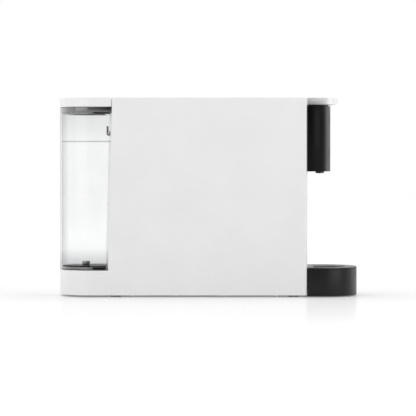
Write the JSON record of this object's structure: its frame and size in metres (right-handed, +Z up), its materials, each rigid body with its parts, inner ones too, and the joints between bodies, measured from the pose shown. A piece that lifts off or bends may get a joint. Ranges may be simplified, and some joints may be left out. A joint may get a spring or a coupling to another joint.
{
  "type": "pod coffee machine",
  "caption": "Slim pod coffee machine with a lever brew unit, a rear lift-off water tank with hinged lid, a slide-out capsule bin and a rounded slide-out drip tray.",
  "frame": {"origin": "on the table, under the middle of the machine's length and width", "axes": "+X towards the spout, +Z up, +Y towards the machine's left side"},
  "size_m": [0.368, 0.115, 0.244],
  "materials": {
    "white_plastic": "fine satin",
    "grey_plastic": "matte",
    "black_plastic": "satin",
    "dark_plastic": "matte",
    "steel": "brushed",
    "red_rubber": "matte",
    "silver_paint": "satin",
    "red_plastic": "gloss",
    "clear_plastic": "clear moulded plastic",
    "smoke_plastic": "gloss",
    "black_rubber": "matte",
    "ivory_plastic": "matte",
    "blue_plastic": "gloss",
    "cast_aluminium": "cast",
    "ceramic_white": "glazed",
    "brass_metal": "turned",
    "hose_silicone": "smooth",
    "green_board": "solder mask",
    "board_parts": "moulded"
  },
  "bodies": {
    "root": {"left_shell": "white_plastic", "right_shell": "white_plastic", "top_cover": "white_plastic", "base_plate": "grey_plastic", "rear_wall": "white_plastic", "tank_seat": "white_plastic", "inner_frame": "grey_plastic", "head_cover": "black_plastic", "nozzle": "dark_plastic", "nozzle_tip": "steel", "brew_frame": "steel", "pivot_pins": "steel", "extraction_head": "dark_plastic", "extraction_plate": "steel", "capsule_guides": "dark_plastic", "inlet_spigot": "grey_plastic", "spigot_seal": "black_rubber", "pump_body": "ivory_plastic", "pump_coil": "dark_plastic", "pump_mounts": "black_rubber", "flow_meter": "ivory_plastic", "thermoblock": "cast_aluminium", "thermostats": "ceramic_white", "pressure_valve": "brass_metal", "hoses": "hose_silicone", "circuit_board": "green_board", "board_parts": "board_parts", "button_board": "green_board", "button_rings": "white_plastic", "power_inlet": "black_plastic", "shell_screws": "steel", "feet": "black_rubber", "left_button_spring": "steel", "right_button_spring": "steel"},
    "lever_arm": {"lever": "silver_paint", "lever_cams": "dark_plastic", "lever_screws": "steel"},
    "cage": {"brew_cage": "dark_plastic", "cam_pins": "steel", "piercing_plate": "steel", "cage_seal": "red_rubber"},
    "tray": {"drip_tray": "black_plastic"},
    "grate": {"drip_grate": "black_plastic"},
    "float": {"tray_float": "red_plastic"},
    "bin": {"capsule_bin": "dark_plastic", "front_panel": "black_plastic"},
    "water_tank": {"tank": "clear_plastic", "tank_foot": "smoke_plastic", "tank_collar": "smoke_plastic", "tank_clip": "grey_plastic", "lid_pin": "steel", "valve_seal": "black_rubber", "valve_spring": "steel"},
    "lid": {"tank_lid": "white_plastic"},
    "poppet": {"valve_poppet": "grey_plastic"},
    "piston": {"pump_piston": "steel"},
    "rotor": {"flow_rotor": "blue_plastic"},
    "button_left": {"left_button": "silver_paint"},
    "button_right": {"right_button": "silver_paint"}
  },
  "joints": [
    {"name": "lever_swing", "type": "hinge", "parent": "root", "child": "lever_arm", "pos_m": [0.02, 0, 0.229], "axis": [0, -1, 0], "range_deg": [0, 75]},
    {"name": "cage_slide", "type": "slide", "parent": "root", "child": "cage", "axis": [-1, 0, 0], "range_m": [0, 0.0305]},
    {"name": "tray_slide", "type": "slide", "parent": "root", "child": "tray", "axis": [1, 0, 0], "range_m": [0, 0.135]},
    {"name": "grate_lift", "type": "slide", "parent": "tray", "child": "grate", "axis": [0, 0, 1], "range_m": [0, 0.03]},
    {"name": "float_rise", "type": "slide", "parent": "tray", "child": "float", "axis": [0, 0, 1], "range_m": [0, 0.004]},
    {"name": "bin_slide", "type": "slide", "parent": "root", "child": "bin", "axis": [1, 0, 0], "range_m": [0, 0.075]},
    {"name": "tank_lift", "type": "slide", "parent": "root", "child": "water_tank", "axis": [0, 0, 1], "range_m": [0, 0.22]},
    {"name": "lid_hinge", "type": "hinge", "parent": "water_tank", "child": "lid", "pos_m": [-0.1202, 0, 0.2413], "axis": [0, 1, 0], "range_deg": [0, 95]},
    {"name": "poppet_lift", "type": "slide", "parent": "water_tank", "child": "poppet", "axis": [0, 0, 1], "range_m": [0, 0.002], "stiffness_N_per_m": 150, "deforming": ["valve_spring"]},
    {"name": "piston_stroke", "type": "slide", "parent": "root", "child": "piston", "axis": [1, 0, 0], "range_m": [-0.003, 0.003], "stiffness_N_per_m": 800},
    {"name": "rotor_spin", "type": "hinge", "parent": "root", "child": "rotor", "pos_m": [-0.088, -0.024, 0.015], "axis": [0, 0, 1], "continuous": true},
    {"name": "left_button_press", "type": "slide", "parent": "root", "child": "button_left", "axis": [0, 0, -1], "range_m": [0, 0.0012], "stiffness_N_per_m": 300, "deforming": ["left_button_spring"]},
    {"name": "right_button_press", "type": "slide", "parent": "root", "child": "button_right", "axis": [0, 0, -1], "range_m": [0, 0.0012], "stiffness_N_per_m": 300, "deforming": ["right_button_spring"]}
  ],
  "couplings": [
    {"joint": "cage_slide", "follows": "lever_swing", "m_per_rad": 0.022918}
  ]
}
